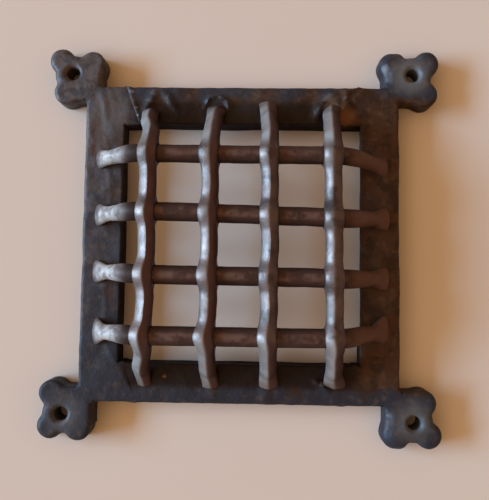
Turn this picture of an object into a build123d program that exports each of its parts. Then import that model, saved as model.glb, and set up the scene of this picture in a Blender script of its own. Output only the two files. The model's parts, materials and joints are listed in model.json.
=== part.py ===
"""Forged iron door grille: a flat square frame with a trefoil nail lug at each corner, and a
raised cage of upright and cross bars. The uprights are square bars set on edge, punched with
an eye at every crossing, and the round cross bars are threaded through those eyes. Every bar
turns down at its ends to a flared foot, whose tenon goes through the frame and is peened
flush into a countersink at the back.

The grille lies on its back: origin at the centre of the back face, +Z out of the front,
+Y towards the top rail. Millimetres."""
from build123d import *
from math import atan, degrees, isclose
import os

# frame of flat bar
FRAME_SIDE = 168.0         # outside of the square frame
STRIP_WIDTH = 21.0         # stiles and rails are one flat bar
STRIP_THICKNESS = 11.0
OUTER_EDGE_ROUND = 2.0     # front edges are hammered round
OPENING_EDGE_ROUND = 0.8

# scarf-welded corners: how far a stile's ear reaches along the rail, past the stile's inner edge
TOP_SCARF_OUTER = 1.0
TOP_SCARF_INNER = 8.5
BOTTOM_SCARF_OUTER = 9.5
BOTTOM_SCARF_INNER = 3.0
TONGUE_LENGTH = 8.0        # the rail's thinned end, let in under the stile

# trefoil lugs
LUG_OVERHANG = 7.6         # nail hole beyond the frame's corner, both ways
LUG_CORE_RADIUS = 10.4
OUTER_LOBE_OFFSET = 7.0    # outer lobe's centre from the nail hole, both ways
OUTER_LOBE_RADIUS = 6.8
SIDE_LOBE_BACK = 9.4       # side lobe's centre from the nail hole, back along the frame
SIDE_LOBE_OUT = 5.8        # and out from the frame
SIDE_LOBE_RADIUS = 7.3
NECK_INSET = 1.2           # the neck is this much narrower than the lobes, each side
NOTCH_RADIUS = 1.6         # in the valleys between lobes
NAIL_HOLE_DIAMETER = 7.2
NAIL_DISH_DIAMETER = 10.6  # worn countersink round the nail hole
NAIL_DISH_DEPTH = 1.4

# cage of bars
UPRIGHT_PITCH = 30.6
CROSS_PITCH = 29.85
CROSS_SHIFT = -1.8         # the cross bars sit a little low in the frame
BAR_RISE = 17.0            # bar axes above the frame's face
KNEE_RISE = 3.5            # a leg stands straight this far, then slopes in
KNEE_RADIUS = 6.0
SHOULDER_RADIUS = 8.0      # where the leg runs into the straight of the cage
UPRIGHT_SIDE = 6.4         # square bar, set on edge
UPRIGHT_CORNER = 1.0
UPRIGHT_LEG_RUN = 11.0     # from the foot in to the shoulder
CROSS_LEG_RUN = 16.0
CROSS_DIAMETER = 9.4
EYE_WIDTH = 11.0           # across the upright
EYE_CHEEK = 3.75           # metal left above and below the cross bar
EYE_LIP = 0.9              # metal left at the eye's mouth
EYE_CLEARANCE = 0.15       # round the cross bar

# feet and tenons
UPRIGHT_FOOT_SETBACK = 5.0  # foot's centre from the edge of the opening
UPRIGHT_FOOT_LENGTH = 10.0  # across the strip
UPRIGHT_FOOT_WIDTH = 11.0
CROSS_FOOT_SETBACK = 8.0
CROSS_FOOT_LENGTH = 12.0
CROSS_FOOT_WIDTH = 12.6
FOOT_HEIGHT = 4.5
TENON_DIAMETER = 5.0
TENON_CLEARANCE = 0.1
HEAD_DIAMETER = 7.4        # peened head at the back
HEAD_DEPTH = 1.4
BARS_EACH_WAY = 4

half_side = FRAME_SIDE / 2
opening_half = half_side - STRIP_WIDTH
strip_middle = half_side - STRIP_WIDTH / 2
upright_reach = opening_half + UPRIGHT_FOOT_SETBACK
cross_reach = opening_half + CROSS_FOOT_SETBACK
lap_level = STRIP_THICKNESS / 2
bar_height = STRIP_THICKNESS + BAR_RISE
knee_height = STRIP_THICKNESS + KNEE_RISE
nail_reach = half_side + LUG_OVERHANG
eye_hole_radius = CROSS_DIAMETER / 2 + EYE_CLEARANCE
bar_steps = [number - (BARS_EACH_WAY - 1) / 2 for number in range(BARS_EACH_WAY)]
upright_places = [step * UPRIGHT_PITCH for step in bar_steps]
cross_places = [CROSS_SHIFT - step * CROSS_PITCH for step in bar_steps]
scarf_reach = {1: (TOP_SCARF_OUTER, TOP_SCARF_INNER), -1: (BOTTOM_SCARF_OUTER, BOTTOM_SCARF_INNER)}


def lug_outline(x_way, y_way):
    """Draw one corner's trefoil lug: neck, core round the nail hole and three lobes."""
    neck_inner = nail_reach - SIDE_LOBE_BACK - SIDE_LOBE_RADIUS + NECK_INSET
    neck_outer = nail_reach + SIDE_LOBE_OUT
    neck_middle = (neck_inner + neck_outer) / 2
    with Locations((x_way * neck_middle, y_way * neck_middle)):
        Rectangle(neck_outer - neck_inner, neck_outer - neck_inner)
    with Locations((x_way * nail_reach, y_way * nail_reach)):
        Circle(LUG_CORE_RADIUS)
    outer = nail_reach + OUTER_LOBE_OFFSET
    with Locations((x_way * outer, y_way * outer)):
        Circle(OUTER_LOBE_RADIUS)
    back = nail_reach - SIDE_LOBE_BACK
    out = nail_reach + SIDE_LOBE_OUT
    with Locations((x_way * back, y_way * out), (x_way * out, y_way * back)):
        Circle(SIDE_LOBE_RADIUS)


def left_ear(y_way):
    """Draw the ear that the left stile reaches along a rail, as far as the scarf."""
    outer, inner = scarf_reach[y_way]
    Polygon(
        (-half_side, y_way * half_side),
        (-opening_half + outer, y_way * half_side),
        (-opening_half + inner, y_way * opening_half),
        (-half_side, y_way * opening_half),
        align=None,
    )


def sink_angle(mouth_diameter, hole_diameter, depth):
    """Give the full angle of a countersink from its mouth, its hole and its depth."""
    return 2 * degrees(atan((mouth_diameter - hole_diameter) / 2 / depth))


def cut_tenon_hole(x, y):
    """Cut a bar's tenon hole, countersunk from the back for the peened head."""
    with Locations(Plane(origin=(x, y, 0), z_dir=(0, 0, -1))):
        CounterSinkHole(
            radius=TENON_DIAMETER / 2 + TENON_CLEARANCE,
            counter_sink_radius=HEAD_DIAMETER / 2 + TENON_CLEARANCE,
            counter_sink_angle=sink_angle(HEAD_DIAMETER, TENON_DIAMETER, HEAD_DEPTH),
        )


def staple_path(reach, leg_run):
    """Draw a bar's centre line: up from one foot, across the cage and down to the other."""
    FilletPolyline(
        (-reach, STRIP_THICKNESS),
        (-reach, knee_height),
        (leg_run - reach, bar_height),
        (reach - leg_run, bar_height),
        (reach, knee_height),
        (reach, STRIP_THICKNESS),
        radius=(KNEE_RADIUS, SHOULDER_RADIUS, SHOULDER_RADIUS, KNEE_RADIUS),
    )


def forge_foot(x, y, sole_x, sole_y, neck_radius):
    """Add a flared foot standing on the strip, its tenon and the peened head at the back."""
    with BuildSketch(Plane.XY.offset(STRIP_THICKNESS)) as sole:
        with Locations((x, y)):
            Ellipse(sole_x / 2, sole_y / 2)
    with BuildSketch(Plane.XY.offset(STRIP_THICKNESS + FOOT_HEIGHT)) as neck:
        with Locations((x, y)):
            Circle(neck_radius)
    loft([sole.sketch, neck.sketch])
    with Locations((x, y, 0)):
        upwards = (Align.CENTER, Align.CENTER, Align.MIN)
        Cylinder(TENON_DIAMETER / 2, STRIP_THICKNESS, align=upwards)
        Cone(HEAD_DIAMETER / 2, TENON_DIAMETER / 2, HEAD_DEPTH, align=upwards)


def straight_front_edges(piece, line):
    """Pick a piece's front edges that lie on the lines x or y = +line or -line."""
    front = piece.edges().group_by(Axis.Z)[-1]
    upright = [edge for edge in front.filter_by(Axis.Y) if isclose(abs(edge.center().X), line)]
    level = [edge for edge in front.filter_by(Axis.X) if isclose(abs(edge.center().Y), line)]
    return upright + level


os.makedirs("parts", exist_ok=True)

# left stile: upright strip of the frame with both its lugs, and an ear at each end that laps
# over the rail's tongue
with BuildPart() as left_stile:
    with BuildSketch():
        with Locations((-strip_middle, 0)):
            Rectangle(STRIP_WIDTH, FRAME_SIDE)
        for y_way in (1, -1):
            lug_outline(-1, y_way)
            with Locations((-opening_half - TONGUE_LENGTH / 2, y_way * strip_middle)):
                Rectangle(TONGUE_LENGTH, STRIP_WIDTH, mode=Mode.SUBTRACT)
    extrude(amount=lap_level)
    with BuildSketch(Plane.XY.offset(lap_level)):
        with Locations((-strip_middle, 0)):
            Rectangle(STRIP_WIDTH, FRAME_SIDE)
        for y_way in (1, -1):
            lug_outline(-1, y_way)
            left_ear(y_way)
    extrude(amount=STRIP_THICKNESS - lap_level)
    valleys = [
        edge for edge in left_stile.edges().filter_by(Axis.Z)
        if abs(edge.center().X) > strip_middle and abs(edge.center().Y) > strip_middle
    ]
    fillet(valleys, NOTCH_RADIUS)
    lug_rims = left_stile.edges().group_by(Axis.Z)[-1].filter_by(GeomType.CIRCLE)
    fillet(lug_rims + straight_front_edges(left_stile, half_side), OUTER_EDGE_ROUND)
    fillet(straight_front_edges(left_stile, opening_half), OPENING_EDGE_ROUND)
    for y_way in (1, -1):
        with Locations((-nail_reach, y_way * nail_reach, STRIP_THICKNESS)):
            CounterSinkHole(
                radius=NAIL_HOLE_DIAMETER / 2,
                counter_sink_radius=NAIL_DISH_DIAMETER / 2,
                counter_sink_angle=sink_angle(
                    NAIL_DISH_DIAMETER, NAIL_HOLE_DIAMETER, NAIL_DISH_DEPTH
                ),
            )
    for y in cross_places:
        cut_tenon_hole(-cross_reach, y)

# right stile: the left one's mirror image
with BuildPart() as right_stile:
    mirror(left_stile.part, about=Plane.YZ)

# rails: the strips between the stiles, scarfed to their ears and let in under them
rails = {}
for y_way in (1, -1):
    outer, inner = scarf_reach[y_way]
    with BuildPart() as rail:
        with BuildSketch():
            with Locations((0, y_way * strip_middle)):
                Rectangle(2 * (opening_half + TONGUE_LENGTH), STRIP_WIDTH)
        extrude(amount=lap_level)
        with BuildSketch(Plane.XY.offset(lap_level)):
            Polygon(
                (-opening_half + outer, y_way * half_side),
                (-opening_half + inner, y_way * opening_half),
                (opening_half - inner, y_way * opening_half),
                (opening_half - outer, y_way * half_side),
                align=None,
            )
        extrude(amount=STRIP_THICKNESS - lap_level)
        fillet(straight_front_edges(rail, half_side), OUTER_EDGE_ROUND)
        fillet(straight_front_edges(rail, opening_half), OPENING_EDGE_ROUND)
        for x in upright_places:
            cut_tenon_hole(x, y_way * upright_reach)
    rails[y_way] = rail.part
top_rail, bottom_rail = rails[1], rails[-1]

# upright bars: square bar on edge, with a barrel-shaped eye punched through at each crossing
uprights = []
for x in upright_places:
    with BuildPart() as upright:
        with BuildLine(Plane.YZ.offset(x)):
            staple_path(upright_reach, UPRIGHT_LEG_RUN)
        with BuildSketch(Plane(origin=(x, -upright_reach, STRIP_THICKNESS))):
            RectangleRounded(UPRIGHT_SIDE, UPRIGHT_SIDE, UPRIGHT_CORNER, rotation=45)
        sweep()
        for y in cross_places:
            lip_height = bar_height + eye_hole_radius + EYE_LIP
            crown_height = bar_height + eye_hole_radius + EYE_CHEEK
            left, right = x - EYE_WIDTH / 2, x + EYE_WIDTH / 2
            with BuildSketch(Plane.XZ.offset(-y)):
                with BuildLine():
                    Polyline(
                        (left, lip_height),
                        (left, bar_height),
                        (right, bar_height),
                        (right, lip_height),
                    )
                    ThreePointArc((left, lip_height), (x, crown_height), (right, lip_height))
                make_face()
            revolve(axis=Axis((x, y, bar_height), (1, 0, 0)))
        for y in cross_places:
            with Locations((x, y, bar_height)):
                Cylinder(eye_hole_radius, 2 * EYE_WIDTH, rotation=(0, 90, 0), mode=Mode.SUBTRACT)
        for y_way in (1, -1):
            forge_foot(
                x, y_way * upright_reach, UPRIGHT_FOOT_WIDTH, UPRIGHT_FOOT_LENGTH, UPRIGHT_SIDE / 2
            )
    uprights.append(upright.part)

# cross bars: round bar, threaded through the eyes
crosses = []
for y in cross_places:
    with BuildPart() as cross:
        with BuildLine(Plane.XZ.offset(-y)):
            staple_path(cross_reach, CROSS_LEG_RUN)
        with BuildSketch(Plane(origin=(-cross_reach, y, STRIP_THICKNESS))):
            Circle(CROSS_DIAMETER / 2)
        sweep()
        for x_way in (1, -1):
            forge_foot(
                x_way * cross_reach, y, CROSS_FOOT_LENGTH, CROSS_FOOT_WIDTH, CROSS_DIAMETER / 2
            )
    crosses.append(cross.part)

pieces = {
    "left_stile": left_stile.part,
    "right_stile": right_stile.part,
    "top_rail": top_rail,
    "bottom_rail": bottom_rail,
}
for number, part in enumerate(uprights, start=1):
    pieces[f"upright_bar_{number}"] = part
for number, part in enumerate(crosses, start=1):
    pieces[f"cross_bar_{number}"] = part

for name, part in pieces.items():
    part.label = name
    export_step(part, f"parts/{name}.step")
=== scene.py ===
import json
import math
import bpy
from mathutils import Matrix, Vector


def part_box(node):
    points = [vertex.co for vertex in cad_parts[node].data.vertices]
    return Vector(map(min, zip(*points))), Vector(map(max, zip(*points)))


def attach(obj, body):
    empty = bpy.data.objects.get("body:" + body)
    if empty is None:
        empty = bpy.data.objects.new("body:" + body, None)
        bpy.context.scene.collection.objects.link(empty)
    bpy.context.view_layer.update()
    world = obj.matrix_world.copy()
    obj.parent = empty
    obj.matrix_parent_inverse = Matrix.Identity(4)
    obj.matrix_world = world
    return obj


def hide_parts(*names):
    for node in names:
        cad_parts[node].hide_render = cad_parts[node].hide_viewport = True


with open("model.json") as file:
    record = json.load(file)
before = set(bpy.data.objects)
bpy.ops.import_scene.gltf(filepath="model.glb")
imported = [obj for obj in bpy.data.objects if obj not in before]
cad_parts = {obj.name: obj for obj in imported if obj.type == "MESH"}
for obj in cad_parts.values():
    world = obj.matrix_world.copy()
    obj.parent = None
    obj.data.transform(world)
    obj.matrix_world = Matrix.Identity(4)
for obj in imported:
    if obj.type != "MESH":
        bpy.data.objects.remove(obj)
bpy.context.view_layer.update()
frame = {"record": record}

from types import SimpleNamespace

import bpy
import numpy as np
from mathutils import Vector
from mathutils.geometry import delaunay_2d_cdt


# Stiles: the two upright strips of the frame, flat wrought-iron bar with a trefoil lug drawn
# out at both ends. Each has an ear at the top and bottom that is scarfed and forge-welded to
# the rail beside it. Mesh sizes in this file are in millimetres until a piece is finished.
mm = 0.001
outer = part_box("top_rail")[1].y / mm
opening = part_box("top_rail")[0].y / mm
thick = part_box("left_stile")[1].z / mm
nail_mount = next(m for m in frame["record"]["mounts"] if m["name"] == "nail_holes")
nail_reach = nail_mount["dims"]["spacing_x_mm"] / 2
nail_radius = nail_mount["dims"]["hole_r_mm"]
tenon_radius, head_radius, head_depth = 2.6, 3.8, 1.4
strip_middle = (outer + opening) / 2
upright_reach, cross_reach = opening + 5.0, opening + 8.0
upright_x = [
    sum(corner.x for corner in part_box(f"upright_bar_{n}")) / 2 / mm for n in (1, 2, 3, 4)
]
cross_y = [sum(corner.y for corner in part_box(f"cross_bar_{n}")) / 2 / mm for n in (1, 2, 3, 4)]

# each lug was drawn and punched by eye: the hole's drift from true, then the outer lobe, the
# lobe beside the rail and the lobe beside the stile, all from the hole, outwards positive
lugs = {
    ("left", "top"): ((0.3, -0.2), (6.6, 7.4), (-10.0, 5.5), (3.2, -9.5)),
    ("right", "top"): ((-0.2, -0.6), (7.6, 6.7), (-10.2, 6.3), (6.2, -9.8)),
    ("left", "bottom"): ((1.0, -1.0), (6.2, 6.6), (-8.4, 6.8), (4.9, -10.2)),
    ("right", "bottom"): ((-0.5, 0.4), (7.8, 6.7), (-8.9, 6.9), (4.5, -9.4)),
}
# how each upright wanders from its true line, bottom foot to top foot
upright_sway = [
    [(-76, -2.9), (-65, -3.4), (-54, -0.8), (-46.6, -1.6), (-36, 0.0), (-29, 0.4), (-16.7, -0.6),
     (-6, 0.6), (0, 0.6), (13, -0.2), (22, 0.4), (28, 0.5), (43, 0.2), (54, 1.0), (63, -1.8),
     (76, -3.0)],
    [(-76, 1.2), (-65, 0.0), (-54, 0.1), (-46.6, -0.9), (-36, 0.7), (-29, 1.0), (-16.7, 0.2),
     (-2, 1.0), (13, 0.3), (28, 1.0), (43, 0.2), (54, 1.0), (64, 1.4), (76, 2.6)],
    [(-78, 0.6), (-65, 0.2), (-54, -0.3), (-46.6, -1.1), (-34, 0.0), (-16.7, -0.7), (-2, 0.3),
     (13, -0.6), (28, -0.1), (43, -0.9), (54, -0.3), (66, -0.8), (78, -1.4)],
    [(-76, 4.3), (-65, 2.8), (-54, 1.7), (-46.6, 0.9), (-31, 1.2), (-16.7, 0.6), (-2, 0.9),
     (13, 0.3), (28, 0.4), (43, 0.0), (54, 0.3), (64, 1.0), (76, 2.2)],
]
# how each cross bar wanders, left foot to right foot
cross_sway = [
    [(-80, 1.0), (-62, 0.6), (-46, 0.3), (0, 0.0), (46, -0.1), (58, -0.6), (78, -2.4)],
    [(-80, 0.8), (-62, 0.9), (-46, 0.9), (-30, 0.8), (-5, 0.1), (30, -0.9), (52, -1.6), (78, 0.2)],
    [(-80, 0.9), (-62, 0.2), (-46, -0.5), (-30, -0.7), (0, -0.9), (30, -1.1), (52, -1.6), (78, -1.3)],
    [(-80, -0.7), (-62, -0.4), (-46, -0.7), (0, -0.7), (30, -0.8), (52, -0.6), (64, 0.6), (78, 2.6)],
]
# how far each ear reaches past the stile's inner edge, at the outer edge and at the opening
scarfs = {"top": (1.0, 8.5), "bottom": (9.5, 3.0)}


def eased(knots, at):
    """Read a smooth line through (place, value) knots at the given places."""
    xs, ys = np.array(sorted(knots)).T
    spot = np.clip(np.searchsorted(xs, at) - 1, 0, len(xs) - 2)
    t = np.clip((at - xs[spot]) / (xs[spot + 1] - xs[spot]), 0, 1)
    t = t * t * (3 - 2 * t)
    return ys[spot] * (1 - t) + ys[spot + 1] * t


# the frame was punched for the feet where they came down
tenon_x = {
    up: [upright_x[n] + float(eased(upright_sway[n], up * upright_reach)) for n in range(4)]
    for up in (1, -1)
}
tenon_y = {
    way: [cross_y[n] + float(eased(cross_sway[n], way * cross_reach)) for n in range(4)]
    for way in (1, -1)
}


def lay(tree, kind, feeds=None, **settings):
    """Add a node to a tree, set it up, and feed its inputs from nodes, sockets or values."""
    node = tree.nodes.new(kind)
    for name, value in settings.items():
        setattr(node, name, value)
    for key, value in (feeds or {}).items():
        if isinstance(value, bpy.types.Node):
            value = value.outputs[0]
        if isinstance(value, bpy.types.NodeSocket):
            tree.links.new(value, node.inputs[key])
        else:
            node.inputs[key].default_value = value
    return node


def reckon(tree, operation, *values):
    """Lay one Math node and return its result."""
    return lay(tree, "ShaderNodeMath", dict(enumerate(values)), operation=operation).outputs[0]


def times(tree, product, *factors):
    """Multiply sockets or plain values together."""
    for factor in factors:
        product = reckon(tree, "MULTIPLY", product, factor)
    return product


def carry(tree, operation, *values):
    """Lay one Vector Math node and return its vector."""
    node = lay(tree, "ShaderNodeVectorMath", dict(enumerate(values)), operation=operation)
    return node.outputs["Vector"]


def position(tree):
    """Where a point is."""
    return lay(tree, "GeometryNodeInputPosition").outputs[0]


def apart(tree, vector):
    """The X, Y and Z of a vector."""
    return lay(tree, "ShaderNodeSeparateXYZ", {0: vector}).outputs


def together(tree, *parts):
    """The vector with these parts along X, Y and Z."""
    return lay(tree, "ShaderNodeCombineXYZ", dict(enumerate(parts))).outputs[0]


def fade(tree, value, start, stop, low=1.0, high=0.0):
    """Ease from low to high as a value runs from start to stop."""
    feeds = {"Value": value, 1: start, 2: stop, 3: low, 4: high}
    return lay(tree, "ShaderNodeMapRange", feeds, interpolation_type="SMOOTHSTEP").outputs[0]


def new_tree(name, **sizes):
    """Start a Geometry Nodes tree that takes a geometry and the named sizes. Returns the
    tree, the sockets of what it is given and the socket for its result."""
    tree = bpy.data.node_groups.new(name, "GeometryNodeTree")
    for way in ("INPUT", "OUTPUT"):
        tree.interface.new_socket("Geometry", in_out=way, socket_type="NodeSocketGeometry")
    for label, value in sizes.items():
        kind = {float: "Float", int: "Int"}.get(type(value), "Material")
        socket = tree.interface.new_socket(
            label.replace("_", " ").title(), in_out="INPUT", socket_type="NodeSocket" + kind
        )
        socket.default_value = value
    return tree, lay(tree, "NodeGroupInput").outputs, lay(tree, "NodeGroupOutput").inputs[0]


def forge(name, mesh, tree, sizes, node):
    """Run a tree on a mesh and keep what comes out as the finished piece for one CAD node."""
    piece = bpy.data.objects.new(name, mesh)
    bpy.context.scene.collection.objects.link(piece)
    work = piece.modifiers.new("forging", "NODES")
    work.node_group = tree
    for socket in tree.interface.items_tree:
        if socket.in_out == "INPUT" and socket.name in sizes:
            work[socket.identifier] = sizes[socket.name]
    graph = bpy.context.evaluated_depsgraph_get()
    made = bpy.data.meshes.new_from_object(piece.evaluated_get(graph), depsgraph=graph)
    piece.modifiers.remove(work)
    piece.data = made
    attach(piece, "root")
    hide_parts(node)
    return piece


# The hammered skin goes over every forged piece: broad shallow dents left by the hammer, and
# small rust pits, both laid along the surface. The back of the grille stays flat.
skin, given, result = new_tree(
    "hammered skin", dent_size=6.0, dent_depth=0.3, pit_size=1.7, pit_depth=0.25, seed=0.0
)
where = position(skin)
seed = given["Seed"]


def bumps(tree, place, size, seed, detail):
    """Noise from about -0.5 to 0.5 with bumps of one size in millimetres."""
    scale = reckon(tree, "DIVIDE", 1 / mm, size)
    feeds = {"Vector": place, "W": seed, "Scale": scale, "Detail": detail}
    noise = lay(tree, "ShaderNodeTexNoise", feeds, noise_dimensions="4D")
    return reckon(tree, "SUBTRACT", noise, 0.5)


dents = bumps(skin, where, given["Dent Size"], seed, 1.0)
pits = bumps(skin, where, given["Pit Size"], reckon(skin, "ADD", seed, 7.0), 2.0)
pits = reckon(skin, "MAXIMUM", reckon(skin, "SUBTRACT", pits, 0.08), 0.0)
rough = lay(skin, "GeometryNodeInputNamedAttribute", {"Name": "rough"}, data_type="FLOAT")
roughness = reckon(skin, "ADD", rough, 0.3)
pits = times(skin, pits, times(skin, given["Pit Depth"], 5.0), roughness)
dents = times(skin, dents, given["Dent Depth"], 2.0)
depth = reckon(skin, "SUBTRACT", dents, pits)
clear = fade(skin, apart(skin, where)["Z"], 0.2 * mm, 1.6 * mm, 0.0, mm)
depth = times(skin, depth, clear)
normal = lay(skin, "GeometryNodeInputNormal")
push = lay(skin, "ShaderNodeVectorMath", {0: normal, "Scale": depth}, operation="SCALE")
feeds = {"Geometry": given[0], "Offset": push}
moved = lay(skin, "GeometryNodeSetPosition", feeds)
skin.links.new(moved.outputs[0], result)


def finish_skin(tree, geometry, result, material):
    """Shade a finished piece smooth but for its sharp edges, and give it its iron."""
    smooth = lay(tree, "GeometryNodeSetShadeSmooth", {0: geometry}, domain="FACE")
    angle = lay(tree, "GeometryNodeInputMeshEdgeAngle")
    sharp = lay(tree, "FunctionNodeCompare", {0: angle, 1: 0.75}, operation="GREATER_THAN")
    feeds = {0: smooth, "Selection": sharp, "Shade Smooth": False}
    crisp = lay(tree, "GeometryNodeSetShadeSmooth", feeds, domain="EDGE")
    real = lay(tree, "GeometryNodeRealizeInstances", {0: crisp})
    last = lay(tree, "GeometryNodeSetMaterial", {0: real, "Material": material})
    tree.links.new(last.outputs[0], result)


plate_tree, given, result = new_tree(
    "forged plate", dent_size=7.0, dent_depth=0.3, pit_size=1.9, pit_depth=0.2, seed=0.0, iron=None
)
labels = ("Dent Size", "Dent Depth", "Pit Size", "Pit Depth", "Seed")
feeds = {"Geometry": given[0], **{label: given[label] for label in labels}}
hammered = lay(plate_tree, "GeometryNodeGroup", feeds, node_tree=skin)
finish_skin(plate_tree, hammered, result, given["Iron"])


# The iron's colour is built up on a coat: its tree, the place on the piece, and the tint and
# gloss so far. Each mark of use, and each painted highlight or painted shade, is a function that
# adds to it, in the order of its list.
def mottle(coat, size, detail, roughness=0.55):
    """Cloudy patches of one size in millimetres, from 0 to 1."""
    feeds = {"Vector": coat.place, "Scale": 1 / (size * mm), "Detail": detail}
    return lay(coat.tree, "ShaderNodeTexNoise", {**feeds, "Roughness": roughness})


def cover(coat, amount, colour):
    """Lay a colour over the tint by an amount."""
    feeds = {0: amount, 6: coat.tint, 7: (*colour, 1.0)}
    mixed = lay(coat.tree, "ShaderNodeMix", feeds, data_type="RGBA", clamp_factor=True)
    coat.tint = mixed.outputs[2]


def shine(coat, change, amount):
    """Roughen the gloss by a change, or smooth it where the change is below 0."""
    more = times(coat.tree, amount, change)
    coat.gloss = reckon(coat.tree, "ADD", coat.gloss, more)


def painted_rail_shade(coat, rail_side, middle):
    """Painted shade: the rails' inner halves, between two places along Y and two along X, painted
    dark where the legs' shadows fall, and the walls of the opening painted dark as shade in the
    recess, and rougher there."""
    tree = coat.tree
    low, high = (place * mm for place in rail_side)
    near, far = (place * mm for place in middle)
    rail_shade = fade(tree, coat.from_middle, low, high, 0.9, 0.0)
    rail_shade = times(tree, rail_shade, fade(tree, coat.from_side, near, far))
    walls = fade(tree, coat.rise, (thick - 0.5) * mm, (thick - 2.0) * mm, 0.0, 0.9)
    inside = reckon(tree, "MAXIMUM", coat.from_side, coat.from_middle)
    walls = times(tree, walls, fade(tree, inside, 66 * mm, 69 * mm))
    rail_shade = reckon(tree, "MAXIMUM", rail_shade, walls)
    cover(coat, rail_shade, (0.010, 0.004, 0.003))
    shine(coat, -0.15, rail_shade)
    shine(coat, 0.45, walls)


def spotted(coat, colour, spots):
    """Ragged round spots on the front face, each with its place, reach and strength."""
    tree = coat.tree
    for x, y, reach, amount in spots:
        feeds = {0: coat.place, 1: (x * mm, y * mm, thick * mm)}
        away = lay(tree, "ShaderNodeVectorMath", feeds, operation="DISTANCE").outputs["Value"]
        ragged = times(tree, mottle(coat, 4.0, 3.0), 4 * mm)
        away = reckon(tree, "ADD", away, ragged)
        shade = fade(tree, away, (0.2 * reach + 2) * mm, (1.1 * reach + 2) * mm, amount, 0.0)
        cover(coat, shade, colour)


def rubbed_and_highlit(coat, colour, along_x, along_y, between, near_feet=1.0):
    """Paler iron, more and more from one place to another along X and Y: on the frame's left stile
    it is iron polished by handling, and on the cross bars' left legs it is painted highlight from
    the lamp on the left. Between is what is left of it between patches, and near_feet what is
    left low down."""
    tree = coat.tree
    near, far = (place * mm for place in along_x)
    low, high = (place * mm for place in along_y)
    brightened = times(
        tree,
        fade(tree, coat.across, near, far, 0.0, 1.0),
        fade(tree, coat.up_along, low, high, 0.0, 1.0),
        fade(tree, mottle(coat, 4.5, 3.0), 0.38, 0.60, between, 1.0),
        fade(tree, coat.rise, (thick + 1) * mm, (thick + 6) * mm, near_feet, 1.0),
    )
    cover(coat, brightened, colour)
    shine(coat, -0.06, brightened)


def iron(name, black, brown, rust_dust, metal, sheen, grain_depth, glint, layers):
    """Old waxed wrought iron: near black, with brown patina in patches and paler dust of rust; the
    brown also grows towards the upper right and more still on the right side, and thins on the
    lugs. Glint is how strongly the wax shines. Layers lists functions, for marks of use and for
    painted highlight and shade, with what each takes after the coat."""
    made = bpy.data.materials.new(name)
    made.use_nodes = True
    tree = made.node_tree
    shader = tree.nodes["Principled BSDF"]
    coat = SimpleNamespace(tree=tree, tint=(*black, 1.0))
    coat.place = lay(tree, "ShaderNodeTexCoord").outputs["Object"]
    coat.across, coat.up_along, coat.rise = apart(tree, coat.place)[:3]
    coat.from_side = reckon(tree, "ABSOLUTE", coat.across)
    coat.from_middle = reckon(tree, "ABSOLUTE", coat.up_along)
    bias = reckon(tree, "ADD", coat.across, coat.up_along)
    bias = times(tree, bias, 0.0012 / mm)
    bias = reckon(tree, "ADD", bias, fade(tree, coat.across, 45 * mm, 70 * mm, 0.0, 0.16))
    on_lug = fade(tree, coat.from_side, 66 * mm, 80 * mm, 0.15, 0.55)
    ends = fade(tree, coat.from_middle, 70 * mm, 86 * mm, 0.0, 1.0)
    bias = reckon(tree, "SUBTRACT", bias, times(tree, on_lug, ends))
    patches = fade(tree, reckon(tree, "ADD", mottle(coat, 15.0, 3.0), bias), 0.40, 0.66, 0.0, 1.0)
    cover(coat, patches, brown)
    murk = fade(tree, mottle(coat, 8.0, 3.0), 0.46, 0.62, 0.0, 0.6)
    cover(coat, times(tree, patches, murk), (0.014, 0.007, 0.005))
    dust = fade(tree, mottle(coat, 5.2, 3.0, 0.6), 0.50, 0.72, 0.0, rust_dust)
    cover(coat, dust, (0.16, 0.10, 0.065))
    coat.gloss = fade(tree, mottle(coat, 6.0, 4.0), 0.3, 0.7, sheen - 0.06, sheen + 0.08)
    for add, *sizes in layers:
        add(coat, *sizes)
    shine(coat, 0.15, dust)
    tree.links.new(coat.tint, shader.inputs["Base Color"])
    tree.links.new(coat.gloss, shader.inputs["Roughness"])
    shader.inputs["Metallic"].default_value = metal
    shader.inputs["Specular IOR Level"].default_value = glint
    grain = times(tree, mottle(coat, 3.2, 2.0), 1.5)
    grain = reckon(tree, "ADD", mottle(coat, 1.1, 3.0), grain)
    feeds = {"Strength": 1.0, "Distance": grain_depth * mm, "Height": grain}
    relief = lay(tree, "ShaderNodeBump", feeds)
    tree.links.new(relief.outputs[0], shader.inputs["Normal"])
    return made


# rust above the fourth upright and round the nail holes; then pale bluish grey spots that are
# partly bare iron on the seams and ridges and partly painted highlight and painted light: on the
# hook beside that upright, where they also paint over the hook's shade, on the lugs' flanks and
# tops, on the upper left stile, and faintly over the top rail
rust_spots = [
    (55.5, 67.5, 8.0, 0.75), (47, 68, 5.0, 0.4), (-92, 92, 5.0, 0.7), (92, 91, 5.0, 0.2),
    (-91, -92, 4.6, 0.4), (91, -91, 4.6, 0.2), (-38.3, -70.2, 1.2, 0.9),
]
bare_and_highlight_spots = [
    (47.2, 76.0, 5.0, 0.7), (43.2, 72.8, 3.4, 0.8), (50.5, 73.8, 1.4, 0.6), (55.6, 78, 1.8, 0.35),
    (43.2, -72.6, 1.8, 0.4), (-59.9, 81, 1.2, 0.5), (-58.3, 76.4, 1.2, 0.5),
    (-56.8, 72, 1.2, 0.55), (-55.4, 68, 1.2, 0.6), (-48.8, 76, 2.2, 0.35), (-47.5, 80, 2.4, 0.3),
    (-39.6, 77.8, 1.8, 0.4), (75.6, 88, 3.4, 0.7), (75.6, 93.5, 3.4, 0.7), (75.6, -88, 3.4, 0.8),
    (75.6, -93.5, 3.4, 0.8), (90, 91, 14.0, 0.5), (90, -91, 14.0, 0.34), (-91, -91, 14.0, 0.2),
    (-72, 68, 16.0, 0.3), (0, 82, 30.0, 0.05),
]
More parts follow.
